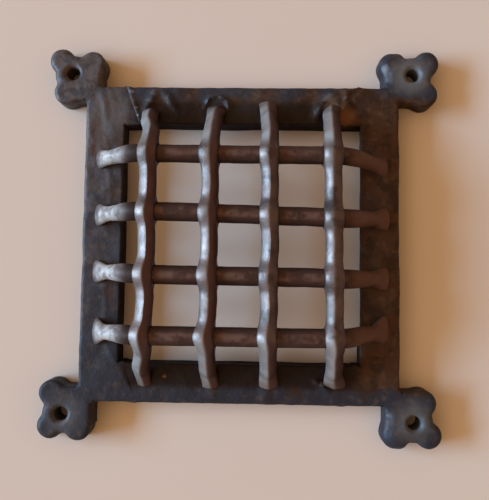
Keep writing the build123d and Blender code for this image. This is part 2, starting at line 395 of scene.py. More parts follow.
frame_iron = iron(
    "frame_iron",
    black=(0.023, 0.0225, 0.032),
    brown=(0.054, 0.023, 0.013),
    rust_dust=0.22,
    metal=0.3,
    sheen=0.56,
    grain_depth=0.13,
    glint=0.22,
    layers=[
        # painted shade on the rails' inner halves and the walls of the opening
        (painted_rail_shade, (73, 78), (57, 66)),
        (spotted, (0.16, 0.065, 0.028), rust_spots),
        # pale spots: partly bare iron, partly painted highlight and painted light
        (spotted, (0.20, 0.20, 0.215), bare_and_highlight_spots),
        (rubbed_and_highlit, (0.085, 0.069, 0.071), (-50, -80), (-90, 90), 0.35),
    ],
)


def merged(near, far, reach):
    """Join two distance fields with a soft valley of that reach."""
    mix = np.clip(0.5 + 0.5 * (far - near) / reach, 0, 1)
    return far * (1 - mix) + near * mix - reach * mix * (1 - mix)


def drawn(corners):
    """Distance field of a convex outline whose corners run anticlockwise."""
    def field(x, y):
        worst = np.full_like(x, -1e9)
        for (ax, ay), (bx, by) in zip(corners, corners[1:] + corners[:1]):
            length = math.hypot(bx - ax, by - ay)
            worst = np.maximum(worst, ((x - ax) * (by - ay) - (y - ay) * (bx - ax)) / length)
        return worst
    return field


def wander(x, y, seed):
    """A slow unevenness, from about -1 to 1, for edges that were drawn out by hand."""
    return (
        np.sin(x / 9.1 + seed) * np.cos(y / 11.3 - 2 * seed)
        + 0.6 * np.sin(x / 4.3 - y / 5.1 + 3 * seed)
    ) / 1.6


def lay_out(field, holes, starts, ring_depths, pitch):
    """Place points for a flat plate: along its outline and its holes, in rings just inside
    them, and evenly over the rest. Returns the points and the edges of the outlines."""
    def whole(x, y):
        far = field(x, y)
        for hx, hy, radius in holes:
            far = np.maximum(far, radius - np.hypot(x - hx, y - hy))
        return far

    def slope(x, y):
        step = 0.02
        gx = whole(x + step, y) - whole(x - step, y)
        gy = whole(x, y + step) - whole(x, y - step)
        length = np.hypot(gx, gy) + 1e-9
        return gx / length, gy / length

    loops = []
    for sx, sy, step in starts:
        x, y, path = np.array([sx]), np.array([sy]), []
        while len(path) < 4000:
            for _ in range(3):
                gx, gy = slope(x, y)
                away = whole(x, y)
                x, y = x - away * gx, y - away * gy
            if len(path) > 5 and math.hypot(x[0] - path[0][0], y[0] - path[0][1]) < 0.8 * step:
                break
            path.append((x[0], y[0]))
            x, y = x - step * gy, y + step * gx
        loops.append(np.array(path))
    for hx, hy, radius in holes:
        turn = np.linspace(0, 2 * math.pi, 28, endpoint=False)
        loops.append(np.stack([hx + radius * np.cos(turn), hy + radius * np.sin(turn)], 1))
    points, edges, count = [], [], 0
    for loop in loops:
        points.append(loop)
        edges += [(count + i, count + (i + 1) % len(loop)) for i in range(len(loop))]
        count += len(loop)
    for loop in loops:
        gx, gy = slope(loop[:, 0], loop[:, 1])
        for away in ring_depths:
            x, y = loop[:, 0] - gx * away, loop[:, 1] - gy * away
            keep = np.abs(whole(x, y) + away) < 0.12 * away + 0.02
            points.append(np.stack([x, y], 1)[keep])
    low, high = np.min(loops[0], 0), np.max(loops[0], 0)
    rows = []
    for n, y in enumerate(np.arange(low[1], high[1], pitch * 0.866)):
        x = np.arange(low[0] + (n % 2) * pitch / 2, high[0], pitch)
        rows.append(np.stack([x, np.full_like(x, y)], 1))
    inner = np.concatenate(rows)
    inner = inner[whole(inner[:, 0], inner[:, 1]) < -ring_depths[-1] - 0.5 * pitch]
    points = np.concatenate(points + [inner])
    laid = delaunay_2d_cdt([Vector(p) for p in points], edges, [], 0, 1e-5)
    xy = np.array([tuple(p) for p in laid[0]])
    faces = np.array(laid[2])
    middle = xy[faces].mean(1)
    return xy, faces[whole(middle[:, 0], middle[:, 1]) < -1e-4]


def raise_plate(name, xy, faces, top, bottom, rough, lean=None):
    """Give a laid-out plate its top and bottom heights and walls, as one closed mesh. Lean is
    how far the foot of a wall stands out along X."""
    used = np.unique(faces)
    renumber = np.zeros(len(xy), int)
    renumber[used] = np.arange(len(used))
    xy, faces = xy[used], renumber[faces]
    x, y = xy[:, 0], xy[:, 1]
    up, down = top(x, y), bottom(x, y)
    foot = x + lean(x, y) if lean else x
    corners = xy[faces]
    turn = np.cross(corners[:, 1] - corners[:, 0], corners[:, 2] - corners[:, 0])
    faces[turn < 0] = faces[turn < 0][:, ::-1]
    count = len(xy)
    places = [np.stack([x, y, up], 1), np.stack([foot, y, down], 1)]
    shapes = [tuple(f) for f in faces] + [tuple(count + f[::-1]) for f in faces]
    runs = {(f[i], f[(i + 1) % 3]) for f in faces.tolist() for i in range(3)}
    rim = sorted((a, b) for a, b in runs if (b, a) not in runs)
    edge = sorted({a for a, _ in rim})
    levels = 9
    spot = {a: n for n, a in enumerate(edge)}
    for n in range(1, levels):
        share = n / levels
        across = x[edge] * (1 - share) + foot[edge] * share
        places.append(np.stack([across, y[edge], up[edge] * (1 - share) + down[edge] * share], 1))

    def at(level, a):
        if level == 0:
            return a
        return count + a if level == levels else 2 * count + (level - 1) * len(edge) + spot[a]

    for a, b in rim:
        for n in range(levels):
            shapes.append((at(n, b), at(n, a), at(n + 1, a), at(n + 1, b)))
    places = np.concatenate(places)
    mesh = bpy.data.meshes.new(name)
    mesh.from_pydata((places * mm).tolist(), [], shapes)
    layers = mesh.attributes.new("rough", "FLOAT", "POINT")
    layers.data.foreach_set("value", rough(places[:, 0], places[:, 1]).astype(float))
    mesh.validate()
    return mesh


def drop(inside, radius):
    """How far a rounded edge falls away at a distance inside it."""
    near = np.clip(1 - inside / radius, 0, 1)
    return radius * (1 - np.sqrt(1 - near ** 2))


def hump(x, y, cx, cy, long, wide, turn=0.0):
    """A smooth swelling of height 1 on an oval, turned by degrees."""
    c, s = math.cos(math.radians(turn)), math.sin(math.radians(turn))
    u = ((x - cx) * c + (y - cy) * s) / long
    v = (-(x - cx) * s + (y - cy) * c) / wide
    return np.exp(-(u ** 2 + v ** 2))


def along(x, y, ax, ay, bx, by, wide):
    """A ridge of height 1 along a line, fading out at its ends."""
    length = math.hypot(bx - ax, by - ay)
    run = ((x - ax) * (bx - ax) + (y - ay) * (by - ay)) / length
    off = ((x - ax) * (by - ay) - (y - ay) * (bx - ax)) / length
    over = np.maximum(np.maximum(-run, run - length), 0)
    return np.exp(-((off / wide) ** 2) - (over / (2 * wide)) ** 2)


# marks the hammer left standing: each runs from one point to another, with a width and height
ridges = {
    "left": [(-70.7, 38, -69.8, 20, 1.6, 0.25), (-70.6, -24, -70.2, -40, 1.6, 0.25),
             (-68.5, -56, -57, -74.5, 1.8, 0.3), (-76, 81, -71, 62, 2.0, 0.35),
             (-82, 66, -80, 50, 1.8, 0.3)],
    "right": [(65.4, -2, 75, -13, 1.8, 0.9), (65, 28, 74, 20, 1.8, 0.8),
              (75.5, -54, 76.5, -47, 1.8, 0.9), (74.5, 45, 76, 38, 2.0, 0.7)],
    "top": [(-60.9, 83.6, -55.2, 67.6, 1.3, 0.5),
            (-51.5, 71.0, -48.5, 76.5, 2.3, 1.0), (-48.5, 76.5, -47.0, 81, 3.0, 0.8),
            (-41.2, 79.5, -38.4, 76.2, 2.1, 0.7), (-38.4, 76.2, -35.9, 72.2, 1.9, 0.7),
            (-19.4, 73.2, -17.5, 76.9, 1.0, 0.9), (-17.5, 76.9, -14.9, 77.9, 1.1, 1.2),
            (-14.9, 77.9, -10.6, 77.4, 1.2, 1.3), (-10.6, 77.4, -7.3, 74.7, 1.1, 1.2),
            (-7.3, 74.7, -6.9, 72.2, 1.0, 1.0), (47.6, 76.8, 44.2, 74.8, 3.6, 0.9),
            (44.2, 74.8, 42.2, 71.8, 3.2, 1.5), (42.2, 71.8, 41.6, 70.2, 2.8, 1.4),
            (48, 74, 52.2, 73.4, 1.3, 1.1), (55.6, 81, 55.6, 74, 1.6, 1.0),
            (53.2, 70.5, 55.4, 73.5, 1.4, 0.8)],
    "bottom": [(41.6, -72.4, 45.5, -75.2, 1.6, 1.5), (45.5, -75.2, 51, -74.6, 1.4, 0.9),
               (14.2, -73, 14.1, -76.4, 2.6, 0.8), (-14.6, -73, -14.2, -75.6, 2.4, 0.7)],
}
# a lug's plain middle and its neck, then its three lobes: outer, beside the rail, beside the
# stile; the worn and the crisper edges of the frame; and the dish round a nail hole
lug_core, neck_place, neck_half = 10.4, 86.4, 10.2
lobe_radii = (6.8, 7.2, 7.3)
worn_edge, crisp_edge = 2.0, 0.8
dish_depth, dish_width = 1.4, 1.9
ring_depths, mesh_step, mesh_pitch = (0.2, 0.45, 0.8, 1.25, 1.8, 2.5, 3.3), 0.6, 0.9


def seam(xs, ys, end):
    """How near a point is to the scarf between an ear and a rail: 1 on the line, 0 away."""
    at_outer, at_opening = scarfs[end]
    return along(xs, ys, opening - at_outer, outer, opening - at_opening, opening, 2.2)


def worked(x, y, part):
    """How far a front face stands proud where the hammer left ridges and slow waves."""
    z = 0.18 * wander(1.7 * x, 1.3 * y, 4.0)
    for ax, ay, bx, by, wide, tall in ridges[part]:
        z = z + tall * along(x, y, ax, ay, bx, by, wide)
    return z


def back_face(x, y, edge, feet):
    """The height of the flat back: eased at the edge, and countersunk round each tenon."""
    z = 0.6 * np.clip(1 + edge / 0.6, 0, 1) ** 2
    for foot_x, foot_y in feet:
        away = np.hypot(x - foot_x, y - foot_y)
        sunk = np.clip((head_radius - away) / (head_radius - tenon_radius), 0, 1)
        z = np.maximum(z, head_depth * sunk)
    return z


def stile(side):
    """Lay out and raise one stile with its lugs and ears."""
    way = -1 if side == "left" else 1
    ends = (("top", 1), ("bottom", -1))
    feet = [(way * cross_reach, y) for y in tenon_y[way]]
    hole_at = {}
    for end, up in ends:
        drift = lugs[side, end][0]
        hole_at[end] = (way * (nail_reach + drift[0]), up * (nail_reach + drift[1]))

    def field(x, y):
        xs = way * x
        shape = np.maximum(np.abs(xs - strip_middle) - strip_middle + opening, np.abs(y) - outer)
        for end, up in ends:
            at_outer, at_opening = scarfs[end]
            corners = [(outer, outer), (opening - at_outer, outer)]
            corners += [(opening - at_opening, opening), (outer, opening)]
            shape = np.minimum(shape, drawn(corners)(xs, up * y))
        shape = shape + 0.25 * wander(x, y, 1.0 + way)
        for end, up in ends:
            hx, hy = hole_at[end]
            lobes = np.hypot(x - hx, y - hy) - lug_core
            neck = np.maximum(np.abs(xs - neck_place), np.abs(up * y - neck_place)) - neck_half
            lobes = merged(lobes, neck, 2.0)
            for (dx, dy), radius in zip(lugs[side, end][1:], lobe_radii):
                lobe = np.hypot(x - hx - way * dx, y - hy - up * dy) - radius
                lobes = merged(lobes, lobe, 1.6)
            shape = merged(shape, lobes, 2.2)
        return shape

    def top(x, y):
        xs = way * x
        inner = np.clip((opening + 3.0 - xs) / 2.0, 0, 1)
        inner = inner * np.clip((opening + 1.0 - np.abs(y)) / 2.0, 0, 1)
        radius = worn_edge * (1 - inner) + crisp_edge * inner
        for end, up in ends:
            radius = radius * (1 - seam(xs, up * y, end)) + 0.04 * seam(xs, up * y, end)
        radius = radius + 1.6 * np.clip((np.minimum(np.abs(x), np.abs(y)) - 77) / 8, 0, 1)
        z = thick - drop(-field(x, y), np.maximum(radius, 0.04))
        if side == "right":
            flank = np.clip((85 - x) / 3, 0, 1) * np.clip((np.abs(y) - 84.5) / 3, 0, 1)
            z = z - 0.62 * flank * np.clip(4.0 + field(x, y), 0, 4)
        for hx, hy in hole_at.values():
            away = np.hypot(x - hx, y - hy) - nail_radius
            z = z - dish_depth * np.clip(1 - away / dish_width, 0, 1) ** 1.6
        if side == "left":
            streak = np.sin(1.1 * x + 0.3 * y + 2.2 * np.sin(y / 7.0) + np.sin(x / 2.3))
            streak = streak * np.clip((86 - np.abs(y - 30)) / 20, 0, 1)
            z = z + 0.07 * streak * np.exp(-(((y - 45) / 50) ** 2))
        return z + worked(x, y, side)

    def bottom(x, y):
        return back_face(x, y, field(x, y), feet)

    def rough(x, y):
        if side == "left":
            return 0.2 + 0.9 * hump(x, y, -74, 40, 24, 55)
        return 0.3 + 0 * x

    def lean(x, y):
        return 2.8 * np.clip((y + 58) / 14, 0.2, 1) * np.exp(-(((x - opening) / 4.0) ** 2))

    holes = [(hx, hy, nail_radius) for hx, hy in hole_at.values()]
    holes += [(x, y, tenon_radius) for x, y in feet]
    start = (way * outer, 0.0, mesh_step)
    xy, faces = lay_out(field, holes, [start], ring_depths, mesh_pitch)
    undercut = lean if side == "right" else None
    return raise_plate(f"{side}_stile", xy, faces, top, bottom, rough, undercut)


for side in ("left", "right"):
    sizes = {"Seed": 1.0, "Iron": frame_iron}
    forge(f"{side}_stile_forged", stile(side), plate_tree, sizes, f"{side}_stile")


# Rails: the level strips between the stiles, of the same flat bar, scarfed to the stiles' ears
# and lapped a hair into them. The feet of the upright bars are tenoned through them.
lap = 0.25


def rail(end):
    """Lay out and raise one rail between the scarfs."""
    up = 1 if end == "top" else -1
    feet = [(x, up * upright_reach) for x in tenon_x[up]]
    at_outer, at_opening = (opening - short + lap for short in scarfs[end])
    body = drawn(
        [(at_outer, outer), (-at_outer, outer), (-at_opening, opening), (at_opening, opening)]
    )

    def field(x, y):
        edge = opening + 0.4 + 0.25 * wander(x, y, 5.0 + up) - up * y
        near_end = np.clip((np.abs(x) - 35) / 10, 0, 1)
        uneven = 0.25 * near_end * wander(x, y, 1.0 + np.sign(x))
        return np.maximum(body(x, up * y) - uneven, edge)

    def top(x, y):
        ys = up * y
        radius = np.where(ys > strip_middle, worn_edge, crisp_edge)
        for way in (1, -1):
            radius = radius * (1 - seam(way * x, ys, end)) + 0.3 * seam(way * x, ys, end)
        return thick - drop(-field(x, y), radius) + worked(x, y, end)

    def bottom(x, y):
        return back_face(x, y, field(x, y), feet)

    holes = [(x, y, tenon_radius) for x, y in feet]
    start = (0.0, up * outer, mesh_step)
    xy, faces = lay_out(field, holes, [start], ring_depths, mesh_pitch)
    rough = 0.5 if end == "top" else 0.1
    return raise_plate(f"{end}_rail", xy, faces, top, bottom, lambda x, y: rough + 0 * x)


for end in ("top", "bottom"):
    sizes = {"Seed": 1.0, "Iron": frame_iron}
    forge(f"{end}_rail_forged", rail(end), plate_tree, sizes, f"{end}_rail")


# Tenons: every foot runs on as a round tenon through the frame, and its end is peened flush
# into the countersink at the back.
def scaled(tree, size):
    """A size in millimetres, from a socket or a plain value, as metres."""
    if isinstance(size, bpy.types.NodeSocket):
        return times(tree, size, mm)
    return size * mm


def tenons(tree, geometry, *feet):
    """Join a tenon with its peened head to a bar at each of its two feet, given as (x, y)."""
    line = lay(tree, "GeometryNodeMeshLine", {"Count": 2}, mode="END_POINTS")
    for label, (x, y) in zip(("Start Location", "Offset"), feet):
        tree.links.new(together(tree, scaled(tree, x), scaled(tree, y)), line.inputs[label])
    feeds = {"Vertices": 28, "Radius": (tenon_radius - 0.1) * mm, "Depth": (thick - 0.2) * mm}
    shank = lay(tree, "GeometryNodeMeshCylinder", feeds)
    flare = {
        "Vertices": 28,
        "Side Segments": 4,
        "Fill Segments": 5,
        "Radius Top": (tenon_radius - 0.1) * mm,
        "Radius Bottom": (head_radius - 0.1) * mm,
        "Depth": (head_depth - 0.05) * mm,
    }
    head = lay(tree, "GeometryNodeMeshCone", flare)
    both = lay(tree, "GeometryNodeJoinGeometry")
    for part, lift in ((shank, thick / 2 + 0.1), (head, 0.05)):
        feeds = {0: part, "Translation": (0, 0, lift * mm)}
        raised = lay(tree, "GeometryNodeTransform", feeds)
        tree.links.new(raised.outputs[0], both.inputs[0])
    feeds = {"Points": line, "Instance": both}
    joined = lay(tree, "GeometryNodeJoinGeometry")
    for part in (geometry, lay(tree, "GeometryNodeInstanceOnPoints", feeds).outputs[0]):
        tree.links.new(part, joined.inputs[0])
    return joined.outputs[0]


# Upright bars: square bar set on edge, so that it shows a ridge to the front, swollen and
# punched with an eye at every crossing. Both ends turn down to a flared foot on the rail.
cross_radius = 4.7
cross_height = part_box("cross_bar_1")[1].z / mm - cross_radius - 0.6
upright_height = cross_height + 1.9
knee_height = thick + 3.5


def rounded_run(corners, radii, step):
    """Walk along straight runs whose corners are rounded, in even steps."""
    path = [np.array(corners[0], float)]
    for n in range(1, len(corners) - 1):
        before, corner, after = (np.array(corners[k], float) for k in (n - 1, n, n + 1))
        back = (before - corner) / np.linalg.norm(before - corner)
        on = (after - corner) / np.linalg.norm(after - corner)
        half_turn = math.acos(np.clip(-back @ on, -1, 1)) / 2
        set_off = radii[n - 1] * math.tan(half_turn)
        inward = (back + on) / np.linalg.norm(back + on)
        centre = corner + inward * radii[n - 1] / math.cos(half_turn)
        first, last = corner + back * set_off - centre, corner + on * set_off - centre
        for share in np.linspace(0, 1, 9):
            way = first * (1 - share) + last * share
            path.append(centre + way / np.linalg.norm(way) * radii[n - 1])
    path = np.array(path + [np.array(corners[-1], float)])
    length = np.r_[0, np.cumsum(np.linalg.norm(np.diff(path, axis=0), axis=1))]
    at = np.linspace(0, length[-1], int(length[-1] / step))
    return np.interp(at, length, path[:, 0]), np.interp(at, length, path[:, 1])


def staple(name, reach, leg_run, height, toes, sway, crosswise):
    """The centre line of one bar, foot to foot: up, over the cage and down again. Toes are how
    far each foot kicks out; sway is how the bar wanders sideways."""
    foot = thick - 0.4
    corners = [
        (-reach - toes[0], foot),
        (-reach, knee_height),
        (leg_run - reach, height),
        (reach - leg_run, height),
        (reach, knee_height),
        (reach + toes[1], foot),
    ]
    run, z = rounded_run(corners, (9.0, leg_run - 4.0, leg_run - 4.0, 9.0), 0.6)
    side = eased(sway, run)
    points = np.stack([run, side, z] if crosswise else [side, run, z], 1)
    line = bpy.data.meshes.new(name)
    line.from_pydata((points * mm).tolist(), [(i, i + 1) for i in range(len(points) - 1)], [])
    return line


def section(tree, half, squareness):
    """A bar's cross section: 2 is round, and towards 1 it comes to a square set on edge."""
    ring = lay(tree, "GeometryNodeCurvePrimitiveCircle", {"Resolution": 40, "Radius": 1.0})
    place = position(tree)
    powers = [
        reckon(tree, "POWER", reckon(tree, "ABSOLUTE", part), squareness)
        for part in apart(tree, place)[:2]
    ]
    root = reckon(tree, "DIVIDE", -1.0, squareness)
    reach = reckon(tree, "POWER", reckon(tree, "ADD", *powers), root)
    size = times(tree, reach, scaled(tree, half))
    shaped = lay(tree, "ShaderNodeVectorMath", {0: place, "Scale": size}, operation="SCALE")
    feeds = {"Geometry": ring, "Position": shaped}
    return lay(tree, "GeometryNodeSetPosition", feeds).outputs[0]


def swept(tree, given, half, squareness, side):
    """Sweep the section along the bar's line, and hand back the mesh and its line's place."""
    line = lay(tree, "GeometryNodeMeshToCurve", {0: given[0]})
    level = lay(tree, "GeometryNodeSetCurveNormal", {0: line}, mode="FREE")
    level.inputs["Normal"].default_value = side
    feeds = {0: level, "Tilt": given["Roll"]}
    turned = lay(tree, "GeometryNodeSetCurveTilt", feeds)
    keep = lay(tree, "GeometryNodeCaptureAttribute", {0: turned}, domain="POINT")
    keep.capture_items.new("VECTOR", "Axis")
    tree.links.new(position(tree), keep.inputs[1])
    profile = section(tree, half, squareness)
    feeds = {"Curve": keep, "Profile Curve": profile, "Fill Caps": True}
    sweep = lay(tree, "GeometryNodeCurveToMesh", feeds)
    return sweep.outputs[0], keep.outputs[1]


def reshaped(tree, mesh, axis, rounding, *factors):
    """Stretch the swept bar about its line, by one factor along each axis, and round it."""
    off = carry(tree, "SUBTRACT", position(tree), axis)
    feeds = {0: carry(tree, "NORMALIZE", off), "Scale": 4.0 * mm}
    plain = lay(tree, "ShaderNodeVectorMath", feeds, operation="SCALE")
    mixed = lay(tree, "ShaderNodeMix", {0: rounding, 4: off, 5: plain}, data_type="VECTOR")
    stretched = carry(tree, "MULTIPLY", mixed.outputs[1], together(tree, *factors))
    grown = carry(tree, "ADD", axis, stretched)
    return lay(tree, "GeometryNodeSetPosition", {"Geometry": mesh, "Position": grown}).outputs[0]


def grow(tree, half, eye, eye_size, foot, foot_size):
    """The factor that takes a bar's half width to the eye's and to the foot's."""
    more = []
    for share, size in ((eye, eye_size), (foot, foot_size)):
        extra = reckon(tree, "SUBTRACT", reckon(tree, "DIVIDE", size, half), 1.0)
        more.append(times(tree, share, extra))
    return reckon(tree, "ADD", 1.0, reckon(tree, "ADD", *more))


def over_plate(tree, axis):
    """How high a bar's line is over the frame's front face, in millimetres."""
    height = reckon(tree, "DIVIDE", apart(tree, axis)["Z"], mm)
    return reckon(tree, "SUBTRACT", height, thick)


def hammer(tree, given, bar, dent_size):
    """Put the hammered skin on a bar."""
    feeds = {"Geometry": bar, "Dent Size": dent_size, "Pit Size": 1.8, "Pit Depth": 0.12}
    feeds.update({label: given[label] for label in ("Dent Depth", "Seed")})
    return lay(tree, "GeometryNodeGroup", feeds, node_tree=skin).outputs[0]


def painted_leg_light(coat, colour, from_y):
    """Painted highlight and painted shade on the legs outside a place along Y: their left side
    painted pale as a highlight from the lamp on the left, dimmer low down, and their right side
    painted red-brown as shade, which also runs along the span. Side is the bar's own
    attribute, -1 left to 1 right."""
    tree = coat.tree
    side = lay(tree, "ShaderNodeAttribute", attribute_name="side").outputs["Fac"]
    leg = fade(tree, coat.from_middle, from_y * mm, (from_y + 6) * mm, 0.0, 1.0)
    left = fade(tree, side, 0.1, -0.25, 0.0, 0.9)
    end = fade(tree, coat.rise, (thick + 0.3) * mm, (thick + 4.5) * mm, 0.25, 1.0)
    cover(coat, times(tree, leg, left, end), colour)
    share = fade(tree, coat.across, -12 * mm, 12 * mm, 0.9, 0.5)
    share = reckon(tree, "MAXIMUM", share, fade(tree, leg, 0.0, 1.0, 0.4, 0.9))
    right = times(tree, share, fade(tree, side, -0.1, 0.25, 0.0, 1.0))
    cover(coat, right, (0.080, 0.036, 0.030))


upright_tree, given, result = new_tree(
    "forged upright",
    half_width=4.35,
    squareness=1.45,
    flatness=0.86,
    roll=0.0,
    eye_1=cross_y[0],
    eye_2=cross_y[1],
    eye_3=cross_y[2],
    eye_4=cross_y[3],
    eye_half_width=5.3,
    eye_flatness=0.92,
    eye_half_length=9.0,
    eye_lift=2.8,
    eye_depth=8.2,
    eye_bore=cross_radius + 0.4,
    top_foot=5.4,
    bottom_foot=5.4,
    foot_half_length=2.0,
    foot_height=6.0,
    dent_depth=0.16,
    bar_place=0.0,
    top_tenon=0.0,
    bottom_tenon=0.0,
    seed=0.0,
    iron=None,
)
tree = upright_tree
half = given["Half Width"]
bar, axis = swept(tree, given, half, given["Squareness"], (1, 0, 0))
along_mm = reckon(tree, "DIVIDE", apart(tree, axis)["Y"], mm)
from_eye = 100.0
for n in (1, 2, 3, 4):
    gap = reckon(tree, "SUBTRACT", along_mm, given[f"Eye {n}"])
    from_eye = reckon(tree, "MINIMUM", from_eye, reckon(tree, "ABSOLUTE", gap))
eye = fade(tree, from_eye, 0.5, given["Eye Half Length"])
over = over_plate(tree, axis)
foot = fade(tree, over, 0.0, given["Foot Height"])
foot_sizes = (given["Bottom Foot"], given["Top Foot"])
foot_size = fade(tree, along_mm, -1.0, 1.0, *foot_sizes)
across = grow(tree, half, eye, given["Eye Half Width"], foot, foot_size)
low_roof = reckon(tree, "SUBTRACT", 1.0, given["Eye Flatness"])
low_roof = reckon(tree, "SUBTRACT", 1.0, times(tree, eye, low_roof))
high = grow(tree, half, 0.0, half, foot, given["Foot Half Length"])
high = times(tree, high, given["Flatness"], low_roof)
rounding = times(tree, foot, 0.2)
# the bar remembers which of its sides is left and which right, for its painted light and shade
off_axis = carry(tree, "SUBTRACT", position(tree), axis)
sideways = reckon(tree, "DIVIDE", apart(tree, off_axis)["X"], scaled(tree, half))
feeds = {"Geometry": bar, "Name": "side", "Value": sideways}
marked = lay(tree, "GeometryNodeStoreNamedAttribute", feeds, data_type="FLOAT", domain="POINT")
bar = reshaped(tree, marked, axis, rounding, across, high, high)
# at an eye the bar is split: its upper half rises over the cross bar, its lower half dips under
off_axis = carry(tree, "SUBTRACT", position(tree), axis)
above = apart(tree, off_axis)["Z"]
raised = fade(tree, above, 0.05 * mm, 0.6 * mm, 0.0, given["Eye Lift"])
sunk = fade(tree, above, -0.05 * mm, -0.6 * mm, 0.0, given["Eye Depth"])
split = times(tree, eye, reckon(tree, "SUBTRACT", raised, sunk))
feeds = {"Geometry": bar, "Offset": together(tree, 0.0, 0.0, scaled(tree, split))}
bar = hammer(tree, given, lay(tree, "GeometryNodeSetPosition", feeds), 6.5)
# one punch for every eye, each at its own cross bar
feeds = {0: lay(tree, "GeometryNodeInputIndex")}
which = lay(tree, "GeometryNodeIndexSwitch", feeds, data_type="FLOAT")
for n in (1, 2, 3, 4):
    if n > 2:
        which.index_switch_items.new()
    tree.links.new(given[f"Eye {n}"], which.inputs[n])
eye_x, eye_y = scaled(tree, given["Bar Place"]), scaled(tree, which.outputs[0])
row = lay(tree, "GeometryNodeMeshLine", {"Count": 4})
feeds = {0: row, "Position": together(tree, eye_x, eye_y, cross_height * mm)}
eye_row = lay(tree, "GeometryNodeSetPosition", feeds)
feeds = {"Vertices": 40, "Radius": scaled(tree, given["Eye Bore"]), "Depth": 24 * mm}
punch = lay(tree, "GeometryNodeMeshCylinder", feeds)
feeds = {"Points": eye_row, "Instance": punch}
punches = lay(tree, "GeometryNodeInstanceOnPoints", {**feeds, "Rotation": (0, math.pi / 2, 0)})
punches = lay(tree, "GeometryNodeRealizeInstances", {0: punches})
punched = lay(tree, "GeometryNodeMeshBoolean", operation="DIFFERENCE", solver="EXACT")
tree.links.new(bar, punched.inputs[0])
tree.links.new(punches.outputs[0], punched.inputs[1])
feet = [
    (given["Top Tenon"], upright_reach),
    (given["Bottom Tenon"], -upright_reach),
]
finish_skin(tree, tenons(tree, punched.outputs[0], *feet), result, given["Iron"])
upright_iron = iron(
    "upright_iron",
    black=(0.165, 0.120, 0.110),
    brown=(0.120, 0.092, 0.086),
    rust_dust=0.1,
    metal=0.88,
    sheen=0.48,
    grain_depth=0.08,
    glint=0.5,
    # painted highlight on the legs' left sides, painted shade on their right sides
    layers=[(painted_leg_light, (0.36, 0.34, 0.34), 45.5)],
)

# each upright's own feet and twist: how far its feet kick out, and their half widths, bottom
# and top; its turn in degrees; and how square it is
leg_run = 17.0
upright_toes = [(6.4, 2.8), (7.0, 4.2), (6.8, 7.0), (6.0, 6.6)]
upright_feet = [(3.6, 4.6), (4.3, 5.4), (4.9, 4.7), (5.8, 4.4)]
upright_roll = [6.0, 11.0, 1.0, -2.0]
upright_squareness = [1.22, 1.35, 1.24, 1.36]
for n, sway in enumerate(upright_sway):
    knots = [(place, upright_x[n] + off) for place, off in sway]
    sizes = {
        "Seed": 10.0 + 3 * n,
        "Bar Place": upright_x[n],
        "Top Tenon": tenon_x[1][n],
        "Bottom Tenon": tenon_x[-1][n],
        "Roll": math.radians(upright_roll[n]),
        "Squareness": upright_squareness[n],
        "Bottom Foot": upright_feet[n][0],
        "Top Foot": upright_feet[n][1],
        "Iron": upright_iron,
    }
    for k in range(4):
        sizes[f"Eye {k + 1}"] = float(cross_y[k] + eased(cross_sway[k], upright_x[n]))
    name, path = f"upright_{n + 1}_forged", (upright_reach, leg_run, upright_height)
    line = staple(f"upright_{n + 1}_line", *path, upright_toes[n], knots, False)
    forge(name, line, upright_tree, sizes, f"upright_bar_{n + 1}")


# Cross bars: round bar threaded through the uprights' eyes. The ends turn down to flared,
# hoof-like feet on the stiles; the left legs are painted pale as a highlight and the right legs
# red-brown as shade.
cross_tree, given, result = new_tree(
    "forged cross bar",
    half_width=cross_radius,
    squareness=1.8,
    roll=0.0,
    waist_half_width=3.7,
    foot_half_width=6.2,
    foot_half_length=2.2,
    foot_height=6.0,
    dent_depth=0.2,
    left_tenon=0.0,
    right_tenon=0.0,
    seed=0.0,
    iron=None,
)
tree = cross_tree
half = given["Half Width"]
bar, axis = swept(tree, given, half, given["Squareness"], (0, 1, 0))
over = over_plate(tree, axis)
foot = fade(tree, over, 0.0, given["Foot Height"])
waist = fade(tree, over, 4.0, 15.5)
waist = times(tree, waist, reckon(tree, "SUBTRACT", 1.0, foot))
slim = given["Waist Half Width"]
across = grow(tree, half, waist, slim, foot, given["Foot Half Width"])
high = grow(tree, half, waist, slim, foot, given["Foot Half Length"])
bar = hammer(tree, given, reshaped(tree, bar, axis, 0.0, high, across, high), 7.5)
feet = [
    (-cross_reach, given["Left Tenon"]),
    (cross_reach, given["Right Tenon"]),
]
finish_skin(tree, tenons(tree, bar, *feet), result, given["Iron"])


def painted_cross_light(coat, axis_height, colour):
    """Painted light and shade on the round bar over the cage: painted shade, black low down on the
    span; painted highlight, pale along its top; painted shade, dark at the neck of its left leg
    beside the first upright, and red-brown down its right one."""
    tree = coat.tree
    low_top, high_top = (axis_height + 3.7) * mm, (axis_height + 4.7) * mm
    low_side = fade(tree, coat.rise, (axis_height + 0.6) * mm, low_top, 0.95, 0.0)
    span = fade(tree, coat.from_side, 48 * mm, 53 * mm)
    cover(coat, times(tree, low_side, span), (0.014, 0.005, 0.003))
    brightened = fade(tree, mottle(coat, 7.0, 3.0), 0.40, 0.62, 0.0, 0.8)
    brightened = times(tree, fade(tree, coat.rise, low_top, high_top, 0.0, 1.0), brightened)
    cover(coat, brightened, colour)
    neck = fade(tree, coat.across, -46 * mm, -49 * mm, 0.0, 0.8)
    neck = times(tree, neck, fade(tree, coat.across, -52 * mm, -60 * mm))
    cover(coat, neck, (0.020, 0.011, 0.009))
    cover(coat, fade(tree, coat.across, 52 * mm, 60 * mm, 0.0, 0.75), (0.112, 0.052, 0.034))


